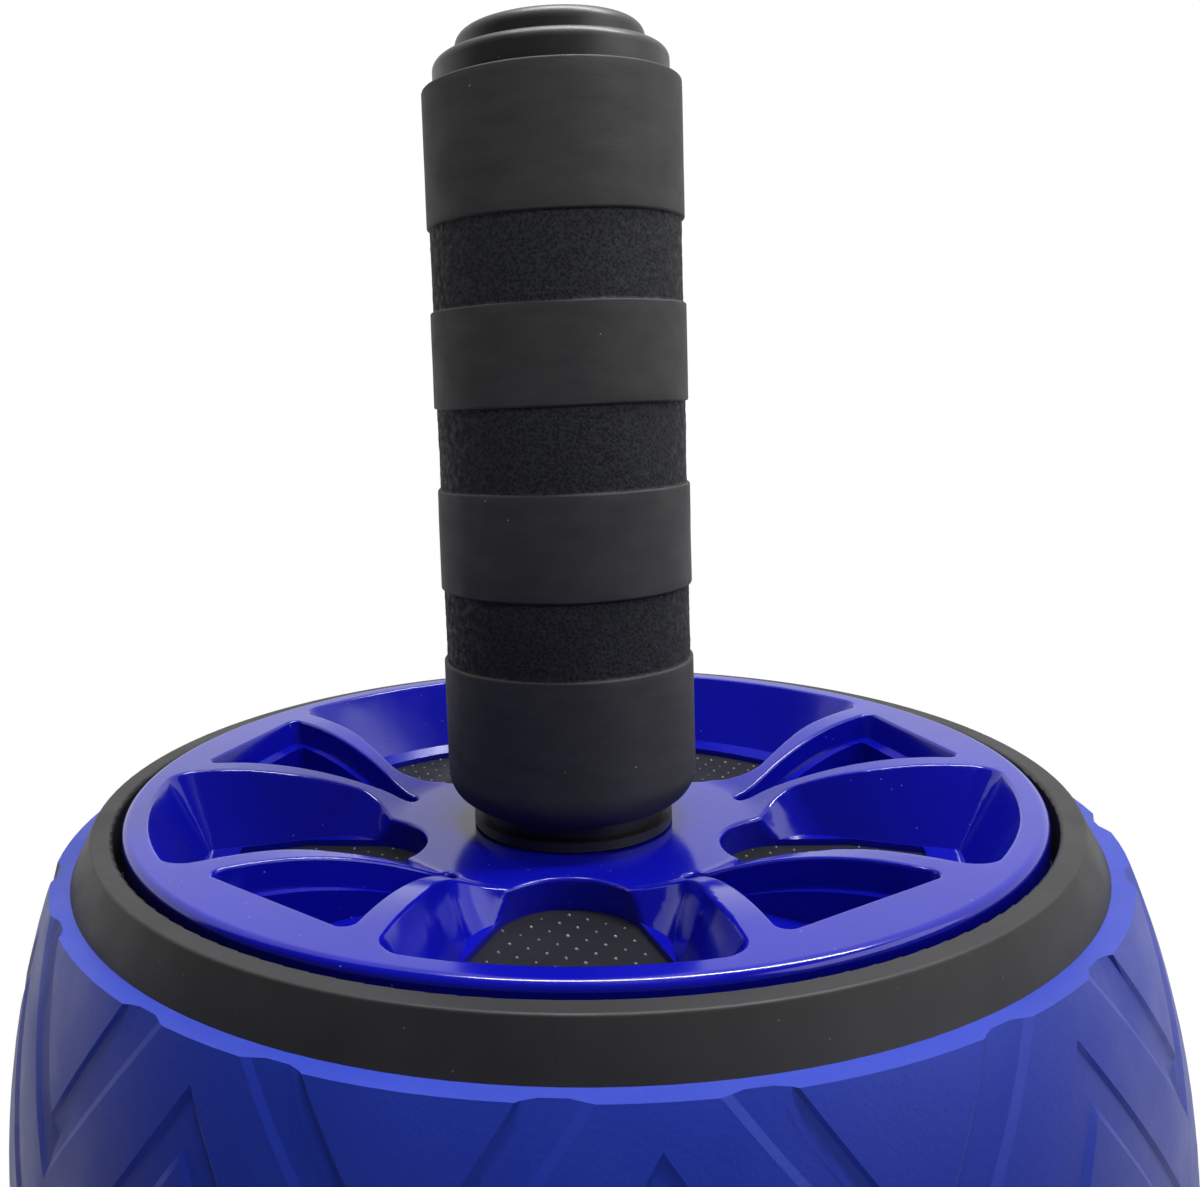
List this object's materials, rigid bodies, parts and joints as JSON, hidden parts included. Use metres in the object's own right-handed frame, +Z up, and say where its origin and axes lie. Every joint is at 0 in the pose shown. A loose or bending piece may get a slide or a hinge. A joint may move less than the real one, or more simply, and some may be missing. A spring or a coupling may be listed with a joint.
{
  "type": "ab wheel roller",
  "caption": "Exercise roller: a wide crowned wheel with a grooved tread and dished spoked covers turns on an axle between two banded foam handles.",
  "frame": {"origin": "centre of the wheel, on the axle's line, midway between the two handle ends", "axes": "+Y along the axle towards the left handle, +Z up with the wheel standing on its tread, +X forwards"},
  "size_m": [0.169, 0.3166, 0.169],
  "materials": {
    "steel": "bright zinc",
    "black_plastic": "satin moulded",
    "grip_foam": "closed-cell foam, smooth and rough bands",
    "tread_rubber": "satin moulded",
    "core_plastic": "moulded",
    "ring_plastic": "satin moulded",
    "cover_plastic": "gloss moulded",
    "backing_plastic": "moulded with small pips",
    "bush_plastic": "nylon"
  },
  "bodies": {
    "handles": {"axle": "steel", "handle_core_left": "black_plastic", "handle_core_right": "black_plastic", "foam_grip_left": "grip_foam", "foam_grip_right": "grip_foam", "end_cap_left": "black_plastic", "end_cap_right": "black_plastic", "lock_nut_left": "steel", "lock_nut_right": "steel", "nut_washer_left": "steel", "nut_washer_right": "steel", "thrust_washer_left": "steel", "thrust_washer_right": "steel"},
    "wheel": {"tread": "tread_rubber", "core_screws": "steel", "wheel_core_left": "core_plastic", "wheel_core_right": "core_plastic", "edge_ring_left": "ring_plastic", "edge_ring_right": "ring_plastic", "hub_cover_left": "cover_plastic", "hub_cover_right": "cover_plastic", "cover_backing_left": "backing_plastic", "cover_backing_right": "backing_plastic", "bush_left": "bush_plastic", "bush_right": "bush_plastic"}
  },
  "joints": [
    {"name": "wheel_spin", "type": "hinge", "parent": "handles", "child": "wheel", "pos_m": [0, 0, 0], "axis": [0, 1, 0], "continuous": true}
  ]
}
